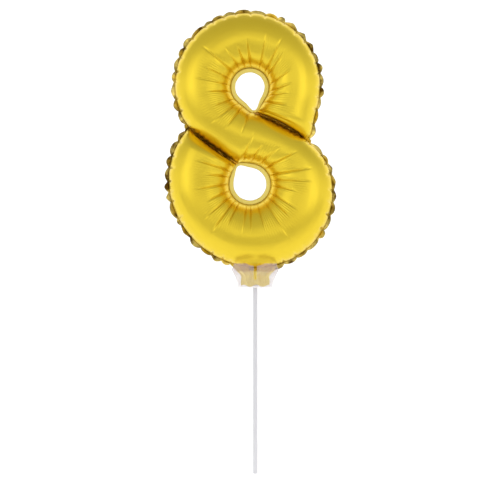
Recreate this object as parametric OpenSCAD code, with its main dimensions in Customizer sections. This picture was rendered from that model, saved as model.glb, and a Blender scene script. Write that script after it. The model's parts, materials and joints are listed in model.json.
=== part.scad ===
// Foil number balloon "8" on a stick: a figure of two welded films, its tail and valve, a clear cup and a stick.
// Millimetres, +Z up, front towards -Y. The origin is the middle of the stick's foot.

/* [Stick] */
// Length of the stick, from its foot to the cup's underside
stick_length = 163.5; // [100:0.5:260]
// Outer diameter of the stick
stick_d = 4; // [3.2:0.1:7]
// Wall of the stick's tube
stick_wall = 0.6; // [0.4:0.05:0.9]

/* [Cup] */
// How far the cup's spigot plugs into the stick
spigot_length = 10; // [5:0.5:20]
// Radial clearance of the spigot in the stick's bore
spigot_clearance = 0.05; // [0.02:0.01:0.1]
// Length of the spigot's chamfered tip
spigot_chamfer = 0.5; // [0.2:0.1:0.8]
// Wall of the bowl
cup_wall = 0.8; // [0.5:0.1:1.5]
// Thickness of the cup's floor
cup_floor = 1; // [0.6:0.1:2]
// How far the bowl's rim stands out past its base
cup_flare = 8.8; // [5:0.2:14]
// How strongly the bowl's wall curves outwards, where 1 is a straight cone
cup_curve = 1.5; // [1:0.1:2.5]
// How far the petals rise past the balloon's lowest seam
petal_overlap = 4.8; // [2:0.2:8]
// How far the rim dips between the petals at the front and rear
front_dip = 2.2; // [0.5:0.1:4]
// How far the rim dips between the petals at the sides, under the loop
side_dip = 5.6; // [4:0.1:7]
// Radius of the dips at the front and rear
front_dip_r = 15; // [10:0.5:20]
// Radius of the dips at the sides
side_dip_r = 24; // [20:0.5:32]
// Width of the front and rear slots
front_slot = 2.8; // [1.5:0.1:5]
// Room on each side of the balloon's flat rim in the side slots
side_slot_room = 2.2; // [1.6:0.1:4]
// Height of the slots' feet above the cup's floor
slot_foot = 6; // [3:0.5:10]
// Radius of the half-round post behind the tail
post_r = 3; // [2.2:0.1:5]
// Height of the post above the cup's floor
post_height = 9; // [4:0.5:11]

/* [Tail] */
// Width of the tail inside the cup
tail_w = 26.6; // [18:0.2:34]
// Width of the tail at its fold
tail_top_w = 30; // [22:0.2:38]
// Room between the tail and the bowl or the post
tail_room = 0.6; // [0.4:0.05:2]
// Width of the weld along each edge of the tail
tail_weld_w = 3; // [1.5:0.1:5]
// How far below its fold the tail starts to widen
tail_widening = 5.6; // [3:0.2:9]
// Height of the tail's fold above the cup's underside
fold_height = 14.1; // [11:0.1:16]
// Height of the balloon's lowest seam above the tail's fold
seam_above_fold = 2.5; // [1.5:0.1:5]
// Gap between pieces that turn past each other at the fold
fold_gap = 0.4; // [0.3:0.05:1]

/* [Valve] */
// Width of the valve's plies
valve_w = 18; // [10:0.5:20]
// Length of the valve's free flap
valve_flap = 42; // [25:1:60]
// Height of the flap's root above the balloon's lowest seam
valve_root = 3; // [2.5:0.1:6]
// Room between the valve and the seal round the lower eye
valve_eye_room = 1; // [0.5:0.1:5]
// Thickness of one valve ply
valve_t = 0.16; // [0.1:0.02:0.18]

/* [Figure] */
// Radius of the upper loop, from its eye's middle to its outer seam
upper_loop_r = 64.4; // [58:0.2:72]
// Radius of the lower loop, from its eye's middle to its outer seam
lower_loop_r = 72.2; // [66:0.2:80]
// Radius of the seam round the upper eye
upper_eye_r = 17; // [13:0.2:20]
// Radius of the seam round the lower eye
lower_eye_r = 18.5; // [14:0.2:21]
// Height from the lower eye's middle to the upper eye's middle
eye_rise = 86.7; // [80:0.1:94]
// How far the upper eye's middle stands right of the lower eye's
eye_lean = 2.7; // [0:0.1:6]
// How far the lower eye's middle stands left of the stick
lower_eye_left = 5.7; // [0:0.1:10]
// Half of the upper loop's depth
upper_half_depth = 21; // [14:0.5:25]
// Half of the diagonal's depth
diagonal_half_depth = 20; // [13:0.5:25]
// Half of the lower loop's depth
lower_half_depth = 23; // [15:0.5:26]
// How far the upper loop swells where it meets the right notch
upper_shoulder = 7; // [3:0.5:9]
// How far the lower loop tucks in where it meets the right notch
lower_tuck = 4.5; // [1:0.5:7]
// How far the lower loop is pulled out along its lower right and upper left
lower_skew = 2.8; // [0:0.1:4]
// How far the upper eye's seam runs out into its teardrop tip
upper_eye_tip = 6; // [3:0.5:8]
// How far the lower eye's seam runs out into its teardrop tip
lower_eye_tip = 2.6; // [1:0.2:5]
// Direction of the upper eye's tip
upper_tip_angle = -80; // [-95:1:-65]
// Direction of the lower eye's tip
lower_tip_angle = 121; // [110:1:135]
// How far the two crossing seams bow
crossing_bow = 2.3; // [0:0.1:4]

/* [Film and seals] */
// Thickness of the film
film_t = 0.2; // [0.15:0.05:0.5]
// Thickness of a seal, where two films are welded
seal_t = 0.5; // [0.4:0.05:0.8]
// Width of the flat seal round the outside
rim_w = 4.3; // [3:0.1:6]
// Depth of the scallops in the outer seal's edge
scallop = 1.4; // [0.4:0.1:2]
// Length of one scallop
scallop_pitch = 12.6; // [8:0.2:20]
// Width of the flat seal round an eye
eye_seal_w = 4.2; // [3:0.1:6]
// How far a seal runs in under the film's foot
lap = 0.6; // [0.4:0.05:1]

/* [Smoothness] */
// Stations round each loop of the figure
loop_steps = 28; // [20:2:36]
// Stations along each half of the diagonal
diagonal_steps = 4; // [3:1:6]
// Steps across the figure's stroke
across_steps = 10; // [8:2:12]

/* [Hidden] */
$fn = 72;

// How far a cut runs past what it cuts
past = 1;
// Side of a block or rod that cuts right through
through = 80;

// Heights
cup_z = stick_length;
floor_z = cup_z + cup_floor;
fold_z = cup_z + fold_height;
seam_z = fold_z + seam_above_fold;
petal_z = seam_z + petal_overlap;
tail_foot_z = floor_z + tail_room;
tail_waist_z = fold_z - tail_widening;

// Cup
bore_r = stick_d / 2 - stick_wall;
spigot_r = bore_r - spigot_clearance;
cup_base_r = tail_w / 2 + 2 * tail_room + cup_wall;
bowl_h = petal_z - cup_z;
bowl_steps = 8;
side_slot = seal_t + 2 * side_slot_room;
slot_z = floor_z + slot_foot;

// Tail and valve
tail_half_t = seal_t / 2 + film_t;
post_face = tail_half_t + tail_room;
mouth_w = tail_top_w + 2 * fold_gap;
mouth_rise = 8;
valve_inset = 0.04;
valve_root_z = seam_z + valve_root;
valve_face = seal_t / 2 - valve_inset;

// Figure: where and how widely its outline swells, tucks in and runs to a tip, in degrees
shoulder_angle = -44;
shoulder_width = 15;
tuck_angle = 38;
tuck_width = 17;
tip_width = 22;
cap_length = 20;
notch_half_turn = 1.1;
tip_half_turn = 3.2;
// How far round its eye the stroke's inner edge runs ahead of its outer edge
edge_lead = 12;
// How much of the upper eye's tip its hole keeps
hole_tip_share = 0.6;
outline_steps = 120;
eye_outline_step = 5;
crossing_steps = 12;
// How far a crossing seal runs on into the seal of its eye, as a share of its length
crossing_overrun = 0.03;
scallop_steps = 6;

// Eyes' middles in the X-Z plane
lower_eye = [-lower_eye_left, seam_z + lower_seam_r(270)];
upper_eye = lower_eye + [eye_lean, eye_rise];

// ---- Small maths ----
function wrap(a) = a - 360 * round(a / 360);
function swell(a, at, width) = exp(-pow(wrap(a - at) / width, 2));
function polar(c, r, a) = [c[0] + r * cos(a), c[1] + r * sin(a)];
function bearing(c, p) = atan2(p[1] - c[1], p[0] - c[0]);
function mix(a, b, f) = a + (b - a) * f;
function left_of(d) = [-d[1], d[0]] / norm(d);

// ---- Seam lines of the figure, as a radius at each bearing from an eye ----
function upper_seam_r(a) =
    upper_loop_r - 2.5 * cos(a) + 1.2 * sin(a) + upper_shoulder * swell(a, shoulder_angle, shoulder_width);
function lower_seam_r(a) =
    lower_loop_r + 0.8 * cos(a) - 2.1 * sin(a) + 0.5 * cos(2 * a) - lower_skew * sin(2 * a)
    - lower_tuck * swell(a, tuck_angle, tuck_width);
function upper_eye_seam_r(a) = upper_eye_r + upper_eye_tip * swell(a, upper_tip_angle, tip_width);
function lower_eye_seam_r(a) = lower_eye_r + lower_eye_tip * swell(a, lower_tip_angle, tip_width);
function upper_seam(a) = polar(upper_eye, upper_seam_r(a), a);
function lower_seam(a) = polar(lower_eye, lower_seam_r(a), a);
function upper_eye_seam(a) = polar(upper_eye, upper_eye_seam_r(a), a);
function lower_eye_seam(a) = polar(lower_eye, lower_eye_seam_r(a), a);

// Bearing on the upper seam at which it meets the lower one, found by halving
function past_lower(a) =
    norm(upper_seam(a) - lower_eye) - lower_seam_r(bearing(lower_eye, upper_seam(a)));
function meet(inside, outside, n = 24) =
    n == 0 ? (inside + outside) / 2 :
    past_lower((inside + outside) / 2) < 0 ? meet((inside + outside) / 2, outside, n - 1) :
    meet(inside, (inside + outside) / 2, n - 1);
right_notch = meet(-85, 0);
left_notch = meet(265, 180);
right_notch_below = bearing(lower_eye, upper_seam(right_notch));
left_notch_below = bearing(lower_eye, upper_seam(left_notch));

// Ends of the crossing seams, each side of the weld
upper_tip_start = upper_eye_seam(upper_tip_angle + tip_half_turn);
upper_tip_back = upper_eye_seam(upper_tip_angle - tip_half_turn);
right_notch_start = upper_seam(right_notch + notch_half_turn);
right_notch_back = lower_seam(right_notch_below - notch_half_turn);
left_notch_back = upper_seam(left_notch - notch_half_turn);
left_notch_end = lower_seam(left_notch_below + notch_half_turn);
lower_tip_back = lower_eye_seam(lower_tip_angle - tip_half_turn);
lower_tip_end = lower_eye_seam(lower_tip_angle + tip_half_turn);

// A crossing seam from a to b, bowed to its left
function bowed(a, b, f, bow) = mix(a, b, f) + left_of(b - a) * bow * 4 * f * (1 - f);

// ---- The stroke of the figure ----
// It starts at the right notch, turns over the top, runs down the diagonal, turns under and ends at the left notch.
// Each station holds its left edge, right edge, half depth and how far it is bowed across.
function ease(f) = f * f * (3 - 2 * f);
function cap(d) = sqrt(max(0, 1 - pow(1 - min(1, d / cap_length), 2)));
upper_travel = (left_notch - right_notch) * PI / 180 * (upper_loop_r + upper_eye_r) / 2;
lower_travel = (360 - left_notch_below + right_notch_below) * PI / 180 * (lower_loop_r + lower_eye_r) / 2;
upper_leave = left_notch + edge_lead;
lower_join = right_notch_below + edge_lead;
function upper_station(f) = [
    upper_eye_seam(mix(upper_tip_angle + tip_half_turn, upper_leave, f)),
    upper_seam(mix(right_notch + notch_half_turn, left_notch - notch_half_turn, f)),
    mix(upper_half_depth, diagonal_half_depth, ease(max(0, 3 * f - 2))) * cap(f * upper_travel),
    crossing_bow * pow(max(0, 1 - f * upper_travel / cap_length), 2)
];
function diagonal_in(f) = [
    upper_eye_seam(mix(upper_leave, 360 + upper_tip_angle - tip_half_turn, f)),
    bowed(left_notch_back, lower_tip_back, f, -crossing_bow),
    diagonal_half_depth,
    0
];
function diagonal_out(f) = [
    bowed(upper_tip_back, right_notch_back, f, crossing_bow),
    lower_eye_seam(mix(lower_tip_angle - tip_half_turn, lower_join, f)),
    diagonal_half_depth,
    0
];
function lower_station(f) = [
    lower_seam(mix(right_notch_below - notch_half_turn, left_notch_below - 360 + notch_half_turn, f)),
    lower_eye_seam(mix(lower_join, lower_tip_angle - 360 + tip_half_turn, f)),
    mix(diagonal_half_depth, lower_half_depth, ease(min(1, 3 * f))) * cap((1 - f) * lower_travel),
    -crossing_bow * pow(max(0, 1 - (1 - f) * lower_travel / cap_length), 2)
];
stations = concat(
    [for (i = [0:loop_steps - 1]) upper_station(pow(i / loop_steps, 1.5))],
    [for (i = [0:diagonal_steps - 1]) diagonal_in(i / diagonal_steps)],
    [for (i = [0:diagonal_steps - 1]) diagonal_out(i / diagonal_steps)],
    [for (i = [0:loop_steps]) lower_station(1 - pow(1 - i / loop_steps, 1.5))]
);
last = len(stations) - 1;

// A station pulled in by the film's foot: from both edges, and from the stroke's two ends
function travel(k) =
    (stations[min(last, k + 1)][0] + stations[min(last, k + 1)][1]
    - stations[max(0, k - 1)][0] - stations[max(0, k - 1)][1]);
function end_pull(k, inset) =
    k == 0 ? inset * travel(0) / norm(travel(0)) :
    k == last ? -inset * travel(last) / norm(travel(last)) : [0, 0];
function film_point(k, j, inset) =
    let (
        s = stations[k],
        across = s[1] - s[0],
        unit = across / norm(across),
        turn = 180 * j / across_steps,
        f = (1 - cos(turn)) / 2,
        a = s[0] + unit * inset,
        b = s[1] - unit * inset,
        rise = (s[2] - (s[2] > inset ? inset : s[2])) * sin(turn),
        bow = left_of(across) * s[3] * 4 * f * (1 - f),
        p = mix(a, b, f) + bow + end_pull(k, inset)
    )
    [p[0], -seal_t / 2 - (inset == 0 ? s[2] * sin(turn) : rise), p[1]];
function sheet_points(inset) =
    [for (k = [0:last]) for (j = [0:across_steps]) film_point(k, j, inset)];

// Triangles of a grid of points, and of the wall that joins two grids along their edge, clockwise from outside.
// The wall's comes first, starting at the stroke's start, so that the solid's outside is never in doubt.
function grid_faces(first, flip) = [
    for (k = [0:last - 1]) for (j = [0:across_steps - 1])
        let (a = first + k * (across_steps + 1) + j, b = a + across_steps + 1)
        for (t = flip ? [[a, a + 1, b], [b, a + 1, b + 1]] : [[a, b, a + 1], [b, b + 1, a + 1]]) t
];
function edge_loop(first) = concat(
    [for (k = [0:last]) first + k * (across_steps + 1)],
    [for (j = [1:across_steps]) first + last * (across_steps + 1) + j],
    [for (k = [1:last]) first + (last - k) * (across_steps + 1) + across_steps],
    [for (j = [1:across_steps - 1]) first + across_steps - j]
);
function wall_faces(outer, inner) =
    let (n = len(outer))
    [for (i = [n - 1:-1:0]) let (m = (i + 1) % n)
        for (t = [[outer[i], inner[i], inner[m]], [outer[i], inner[m], outer[m]]]) t];

// ---- Flat outlines ----
function scallops(loop_r) = round(2 * PI * loop_r / scallop_pitch);
module seam_outlines(grow) {
    turns = [for (i = [0:outline_steps - 1]) 360 * i / outline_steps];
    polygon([for (a = turns) polar(upper_eye, upper_seam_r(a) + grow, a)]);
    polygon([for (a = turns) polar(lower_eye, lower_seam_r(a) + grow, a)]);
}
module scalloped_outlines() {
    nu = scallops(upper_loop_r);
    nl = scallops(lower_loop_r);
    polygon([for (i = [0:nu * scallop_steps - 1]) let (a = 360 * i / (nu * scallop_steps))
        polar(upper_eye, upper_seam_r(a) + rim_w - scallop * (1 - cos(a * nu)) / 2, a)]);
    polygon([for (i = [0:nl * scallop_steps - 1]) let (a = 360 * i / (nl * scallop_steps))
        polar(lower_eye, lower_seam_r(a) + rim_w - scallop * (1 - cos(a * nl)) / 2, a)]);
}
module upper_eye_outline(grow, tip) {
    polygon([for (a = [0:eye_outline_step:360 - eye_outline_step])
        polar(upper_eye, upper_eye_r + grow + tip * swell(a, upper_tip_angle, tip_width), a)]);
}
module lower_eye_outline(grow, tip) {
    polygon([for (a = [0:eye_outline_step:360 - eye_outline_step])
        polar(lower_eye, lower_eye_r + grow + tip * swell(a, lower_tip_angle, tip_width), a)]);
}
// A flat plate on the figure's middle plane, drawn in X-Z
module plate(t) {
    rotate([90, 0, 0])
        linear_extrude(height = t, center = true)
            children();
}
// A crossing seal lies between the two sides of its seam and runs in under both feet,
// from an eye's tip out to a notch, where the outline trims it
module crossing_outline(a_start, a_end, b_start, b_end) {
    n = left_of(a_end - a_start);
    run = [for (i = [0:crossing_steps]) mix(-crossing_overrun, 1, i / crossing_steps)];
    side_a = [for (i = [0:crossing_steps]) bowed(a_start, a_end, run[i], crossing_bow) + n * lap];
    side_b = [for (i = [crossing_steps:-1:0]) bowed(b_start, b_end, run[i], crossing_bow) - n * lap];
    intersection() {
        polygon(concat(side_a, side_b));
        seam_outlines(-lap);
    }
}

// ---- Sub-parts ----
module stick() {
    color("whitesmoke")
        difference() {
            cylinder(r = stick_d / 2, h = stick_length);
            translate([0, 0, -past])
                cylinder(r = bore_r, h = stick_length + 2 * past);
        }
}

function bowl_r(f) = cup_base_r + cup_flare * pow(f, cup_curve);
module bowl() {
    rotate_extrude()
        polygon(concat(
            [[0, cup_z]],
            [for (i = [0:bowl_steps]) [bowl_r(i / bowl_steps), cup_z + bowl_h * i / bowl_steps]],
            [for (i = [bowl_steps:-1:1]) [bowl_r(i / bowl_steps) - cup_wall, cup_z + bowl_h * i / bowl_steps]],
            [[bowl_r(cup_floor / bowl_h) - cup_wall, floor_z], [0, floor_z]]
        ));
}
// A slot with a round foot, cut through both sides of the bowl along X
module slot(width) {
    translate([0, 0, slot_z + width / 2])
        rotate([0, 90, 0])
            cylinder(r = width / 2, h = through, center = true);
    translate([-through / 2, -width / 2, slot_z + width / 2])
        cube([through, width, through]);
}
module rim_dip(depth, r) {
    translate([0, 0, petal_z - depth + r])
        rotate([0, 90, 0])
            cylinder(r = r, h = through, center = true);
}
module spigot() {
    translate([0, 0, cup_z - spigot_length + spigot_chamfer])
        cylinder(r = spigot_r, h = spigot_length - spigot_chamfer + cup_floor / 2);
    translate([0, 0, cup_z - spigot_length])
        cylinder(r1 = spigot_r - spigot_chamfer, r2 = spigot_r, h = spigot_chamfer);
}
module post() {
    difference() {
        translate([0, 0, floor_z - cup_floor / 2])
            cylinder(r = post_r, h = post_height + cup_floor / 2);
        translate([-through / 2, post_face - through, floor_z])
            cube(through);
    }
}
module cup() {
    color([0.9, 0.88, 0.9, 0.5])
        union() {
            difference() {
                bowl();
                slot(side_slot);
                rim_dip(side_dip, side_dip_r);
                rotate([0, 0, 90]) {
                    slot(front_slot);
                    rim_dip(front_dip, front_dip_r);
                }
            }
            spigot();
            post();
        }
}

module tail_outline() {
    polygon([
        [-tail_w / 2, tail_foot_z], [tail_w / 2, tail_foot_z], [tail_w / 2, tail_waist_z],
        [tail_top_w / 2, fold_z - fold_gap], [-tail_top_w / 2, fold_z - fold_gap], [-tail_w / 2, tail_waist_z]
    ]);
}
module tail_weld_outline() {
    difference() {
        tail_outline();
        translate([-tail_w / 2 + tail_weld_w, tail_foot_z - past])
            square([tail_w - 2 * tail_weld_w, through]);
    }
}
module neck_front_ply() {
    color("goldenrod")
        union() {
            translate([0, -(seal_t / 2 + film_t / 2), 0])
                plate(film_t)
                    tail_outline();
            translate([0, -seal_t / 4, 0])
                plate(seal_t / 2)
                    tail_weld_outline();
        }
}
module neck_rear_ply() {
    color("darkgoldenrod")
        mirror([0, 1, 0])
            neck_front_ply();
}

// A strip of valve film from a height up to the flap's end, kept clear of the lower eye's seal
module valve_strip(foot_z) {
    plate(valve_t)
        difference() {
            translate([-valve_w / 2, foot_z])
                square([valve_w, valve_root_z + valve_flap - foot_z]);
            translate(lower_eye)
                circle(r = lower_eye_r + lap + valve_eye_room);
        }
}
module valve_front_ply() {
    color("lightgray")
        translate([0, valve_t / 2 - valve_face, 0])
            valve_strip(valve_root_z);
}
module valve_rear_ply() {
    color("silver")
        translate([0, valve_face - valve_t / 2, 0])
            valve_strip(fold_z + fold_gap);
}

module front_film() {
    half = (last + 1) * (across_steps + 1);
    color("gold")
        polyhedron(
            points = concat(sheet_points(0), sheet_points(film_t)),
            faces = concat(
                wall_faces(edge_loop(0), edge_loop(half)),
                grid_faces(half, true),
                grid_faces(0, false)
            ),
            convexity = 10
        );
}
module rear_film() {
    color("goldenrod")
        mirror([0, 1, 0])
            front_film();
}

module rim_seal() {
    color("khaki")
        plate(seal_t)
            difference() {
                scalloped_outlines();
                seam_outlines(-lap);
                translate([-mouth_w / 2, cup_z])
                    square([mouth_w, seam_z - cup_z + mouth_rise]);
            }
}
module upper_eye_seal() {
    color("khaki")
        plate(seal_t)
            difference() {
                upper_eye_outline(lap, upper_eye_tip);
                upper_eye_outline(-eye_seal_w, hole_tip_share * upper_eye_tip);
            }
}
module lower_eye_seal() {
    color("khaki")
        plate(seal_t)
            difference() {
                lower_eye_outline(lap, lower_eye_tip);
                lower_eye_outline(-eye_seal_w, lower_eye_tip);
            }
}
module upper_crossing_seal() {
    color("darkkhaki")
        plate(seal_t)
            difference() {
                crossing_outline(upper_tip_start, right_notch_start, upper_tip_back, right_notch_back);
                upper_eye_outline(lap, upper_eye_tip);
            }
}
module lower_crossing_seal() {
    color("darkkhaki")
        plate(seal_t)
            difference() {
                crossing_outline(lower_tip_end, left_notch_end, lower_tip_back, left_notch_back);
                lower_eye_outline(lap, lower_eye_tip);
            }
}

stick();
cup();
neck_front_ply();
neck_rear_ply();
valve_front_ply();
valve_rear_ply();
front_film();
rear_film();
rim_seal();
upper_eye_seal();
lower_eye_seal();
upper_crossing_seal();
lower_crossing_seal();
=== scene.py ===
# %% [markdown]
# # A gold number balloon on a stick
# The real thing starts flat. Two plies of metallised film are welded together along the outline
# of an 8, round its two eyes and along the two short seams where its stroke crosses itself. Air
# then swells the stroke. Film can't stretch, so wherever the swollen figure is tighter than the
# flat one, the film gathers into creases. A clear cup holds the crumpled tail, and a thin tube
# carries the cup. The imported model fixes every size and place, and this lesson builds the looks.

# %% Load the frame
import json
import math
from collections import namedtuple

import bmesh
import bpy
import numpy as np
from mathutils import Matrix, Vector


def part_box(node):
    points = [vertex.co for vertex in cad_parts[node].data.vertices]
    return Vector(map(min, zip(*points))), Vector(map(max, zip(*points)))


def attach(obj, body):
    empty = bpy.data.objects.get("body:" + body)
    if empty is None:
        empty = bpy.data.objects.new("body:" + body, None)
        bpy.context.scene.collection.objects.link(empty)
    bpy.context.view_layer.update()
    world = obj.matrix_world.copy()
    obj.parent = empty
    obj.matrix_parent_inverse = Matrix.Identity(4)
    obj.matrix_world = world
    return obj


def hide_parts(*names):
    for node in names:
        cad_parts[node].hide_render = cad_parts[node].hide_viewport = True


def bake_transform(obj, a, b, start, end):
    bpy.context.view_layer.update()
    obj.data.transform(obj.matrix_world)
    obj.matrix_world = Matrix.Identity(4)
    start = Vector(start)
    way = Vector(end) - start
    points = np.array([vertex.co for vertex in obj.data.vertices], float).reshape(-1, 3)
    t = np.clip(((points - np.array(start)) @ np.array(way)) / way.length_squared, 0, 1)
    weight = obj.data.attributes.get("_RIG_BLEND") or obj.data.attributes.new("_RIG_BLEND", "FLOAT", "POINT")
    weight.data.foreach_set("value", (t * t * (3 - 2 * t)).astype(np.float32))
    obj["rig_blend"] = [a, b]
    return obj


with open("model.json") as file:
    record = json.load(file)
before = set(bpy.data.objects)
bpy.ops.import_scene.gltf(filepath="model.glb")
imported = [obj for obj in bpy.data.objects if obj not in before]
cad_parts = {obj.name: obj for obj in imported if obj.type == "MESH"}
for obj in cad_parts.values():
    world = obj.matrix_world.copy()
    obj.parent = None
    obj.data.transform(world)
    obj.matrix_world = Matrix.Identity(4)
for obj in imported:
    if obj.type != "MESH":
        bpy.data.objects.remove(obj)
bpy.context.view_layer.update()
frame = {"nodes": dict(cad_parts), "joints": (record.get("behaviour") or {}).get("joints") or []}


def linked(name, data):
    """A new object in the scene for a camera, a light or a mesh."""
    made = bpy.data.objects.new(name, data)
    bpy.context.scene.collection.objects.link(made)
    return made


# %% [markdown]
# ## Sizes and places
# The outline is worked out in millimetres from the middle of the lower eye, because a figure is
# easiest to think of from its own centre. The frame says where that middle is: the seal round
# the lower eye is a circle on its right and at its bottom, so two sides of its box give it.
# Angles are in degrees. The outer seam of each loop turns through about LOOP_TURN of them.

# %% Sizes of the figure, in millimetres
MM = 0.001
LAP = 0.6
UPPER_LOOP_R, LOWER_LOOP_R = 64.4, 72.2
UPPER_EYE_R, LOWER_EYE_R = 17.0, 18.5
EYE_RISE, EYE_LEAN = 86.7, 2.7
UPPER_DEPTH, DIAGONAL_DEPTH, LOWER_DEPTH = 21.0, 20.0, 23.0
SHOULDER, TUCK, SKEW = 7.0, 4.5, 2.8
SHOULDER_AT, SHOULDER_WIDTH = -44, 15
TUCK_AT, TUCK_WIDTH = 38, 17
UPPER_TIP, LOWER_TIP = 6.0, 2.6
UPPER_TIP_ANGLE, LOWER_TIP_ANGLE = -80.0, 121.0
TIP_WIDTH = 22
CROSSING_BOW = 2.3
CAP_LENGTH = 10.0
NOTCH_HALF_TURN, TIP_HALF_TURN = 1.1, 3.2
RIM_WIDTH, EYE_RIM_WIDTH = 4.3, 4.2
SCALLOP_PITCH = 12.6
LOOP_TURN = 290

eye_low, eye_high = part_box("lower_eye_seal")
eye_x = eye_high.x - (LOWER_EYE_R + LAP) * MM
eye_z = eye_low.z + (LOWER_EYE_R + LAP) * MM
figure_origin = np.array([eye_x, 0.0, eye_z])
print("lower eye's middle, mm:", (figure_origin / MM).round(1))

# %% [markdown]
# ## The camera
# It stands straight in front with a long lens, as in a catalogue picture.

# %% Camera
VIEW_WIDTH = 0.4399
CAMERA_DISTANCE = 2.0
SENSOR = 36.0
camera_data = bpy.data.cameras.new("camera")
camera_data.sensor_width = SENSOR
camera_data.lens = SENSOR * CAMERA_DISTANCE / VIEW_WIDTH
camera = linked("camera", camera_data)
camera.location = (-0.0046, -CAMERA_DISTANCE, 0.1966)
camera.rotation_euler = (math.radians(90), 0, 0)
bpy.context.scene.camera = camera
print("lens, mm:", round(camera_data.lens))

# %% [markdown]
# ## Node trees, written as sums
# Materials and Geometry Nodes are both trees. One small class wraps a socket, so that a sum in
# Python adds Math nodes, and one method adds any other node.

# %% Helpers for node trees
class Wire:
    """One output socket. Sums with it add Math nodes to its tree."""

    def __init__(self, maker, socket):
        self.maker, self.socket = maker, socket

    def math(self, operation, *values):
        return self.maker.node("ShaderNodeMath", {"operation": operation}, dict(enumerate(values)))

    def __add__(self, other):
        return self.math("ADD", self, other)

    def __radd__(self, other):
        return self.math("ADD", other, self)

    def __sub__(self, other):
        return self.math("SUBTRACT", self, other)

    def __rsub__(self, other):
        return self.math("SUBTRACT", other, self)

    def __mul__(self, other):
        return self.math("MULTIPLY", self, other)

    def __rmul__(self, other):
        return self.math("MULTIPLY", other, self)

    def __pow__(self, other):
        return self.math("POWER", self, other)

    def sine(self):
        return self.math("SINE", self)


class Maker:
    """Adds nodes to one tree: settings first, then the values or wires of its sockets."""

    def __init__(self, tree):
        self.tree = tree

    def node(self, kind, settings, sockets, out=0):
        made = self.tree.nodes.new(kind)
        for name, value in settings.items():
            if name == "stops":
                self.set_stops(made.color_ramp, value)
            else:
                setattr(made, name, value)
        for name, value in sockets.items():
            self.feed(made.inputs[name], value)
        return Wire(self, made.outputs[out])

    def feed(self, socket, value):
        if isinstance(value, Wire):
            self.tree.links.new(value.socket, socket)
        else:
            socket.default_value = value

    def set_stops(self, ramp, stops):
        while len(ramp.elements) < len(stops):
            ramp.elements.new(0.5)
        for element, (position, grey) in zip(ramp.elements, stops):
            element.position = position
            element.color = (grey, grey, grey, 1)

    def colour_mix(self, factor, first, second):
        sockets = {0: factor, 6: first, 7: second}
        return self.node("ShaderNodeMix", {"data_type": "RGBA"}, sockets, out=2)

    def height_of(self, place):
        return self.node("ShaderNodeSeparateXYZ", {}, {0: place}, out="Z")


class Finish(Maker):
    """One material with a Principled shader, whose constant values sit on its own sockets."""

    def __init__(self, name, constants):
        self.material = bpy.data.materials.new(name)
        self.material.use_nodes = True
        super().__init__(self.material.node_tree)
        self.shader = self.tree.nodes["Principled BSDF"]
        for socket, value in constants.items():
            self.drive(socket, value)

    def drive(self, socket, value):
        self.feed(self.shader.inputs[socket], value)

    def place(self):
        return self.node("ShaderNodeTexCoord", {}, {}, out="Object")

    def noise(self, scale, detail=3.0, stretch=(1, 1, 1)):
        spot = self.node("ShaderNodeMapping", {}, {"Vector": self.place(), "Scale": stretch})
        sockets = {"Vector": spot, "Scale": scale, "Detail": detail, "Roughness": 0.55}
        return self.node("ShaderNodeTexNoise", {}, sockets)

    def bump(self, height, strength, distance):
        sockets = {"Height": height, "Strength": strength, "Distance": distance}
        self.drive("Normal", self.node("ShaderNodeBump", {}, sockets))


print("helpers ready")

# %% [markdown]
# ## Finishes
# Gold film is a mirror with a yellow cast and a fine crinkle, so it is a metal with a little
# roughness that drifts over the surface. A weld is pressed between warm jaws, which leaves it
# paler and duller, with a fine grain. The outer rim turns this way and that, and its colour has
# painted patches: the bright gold is painted reflection and the dark brown is painted shade. The
# tail has painted shade above its fold, where it joins the balloon. All patterns read Object
# coordinates, so they stay put.

# %% Gold film, weld, rim, seam and tail
# Painted shade for the tail above its fold, where it joins the balloon.
PAINTED_SHADE_GOLD = (0.70, 0.48, 0.05, 1)
CRINKLE_HEIGHT = 0.6 * MM


def gold(name, bright, deep, rough, crinkle, scale, metal=1.0, patches=0.0, painted_shade_above=None):
    """Film between two golds. Patches sharpen their border into painted reflection and painted shade, and a
    given height paints shade on what is higher.
    """
    finish = Finish(name, {"Metallic": metal, "IOR": 1.45})
    drift = finish.noise(26.0, 2.0)
    # Patches turn the drift into sharp blotches of painted reflection and painted shade.
    if patches:
        drift = 0.5 + patches * (finish.noise(150.0, 2.0) + finish.noise(16.0, 1.0) - 1.0)
    colour = finish.colour_mix(drift, bright, deep)
    # Painted shade: the colour turns darker above the given height.
    if painted_shade_above:
        height = finish.height_of(finish.place())
        sockets = {0: height, 1: painted_shade_above, 2: painted_shade_above + MM}
        joined = finish.node("ShaderNodeMapRange", {}, sockets)
        colour = finish.colour_mix(joined, colour, PAINTED_SHADE_GOLD)
    finish.drive("Base Color", colour)
    finish.drive("Roughness", rough - 0.05 + 0.1 * finish.noise(60.0, 2.0))
    fine = finish.noise(scale, 4.0)
    broad = finish.noise(scale * 0.22, 2.0)
    finish.bump(0.35 * fine + broad, crinkle, CRINKLE_HEIGHT)
    return finish.material


TAIL_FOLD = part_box("neck_front_ply")[1].z
gold_film = gold("gold_film", (0.88, 0.665, 0.05, 1), (0.84, 0.61, 0.04, 1), 0.31, 0.10, 520.0)
gold_weld = gold("gold_weld", (1.0, 0.86, 0.26, 1), (0.96, 0.78, 0.17, 1), 0.5, 0.25, 1500.0, metal=0.75)
# The rim's bright gold patches are painted reflection, and its dark brown ones are painted shade.
gold_rim_painted_light = gold("gold_rim_painted_light", (0.86, 0.66, 0.16, 1), (0.12, 0.065, 0.01, 1), 0.30, 0.25, 900.0, patches=2.6)
gold_seam = gold("gold_seam", (0.96, 0.66, 0.10, 1), (0.84, 0.48, 0.05, 1), 0.36, 0.30, 900.0)
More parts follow.
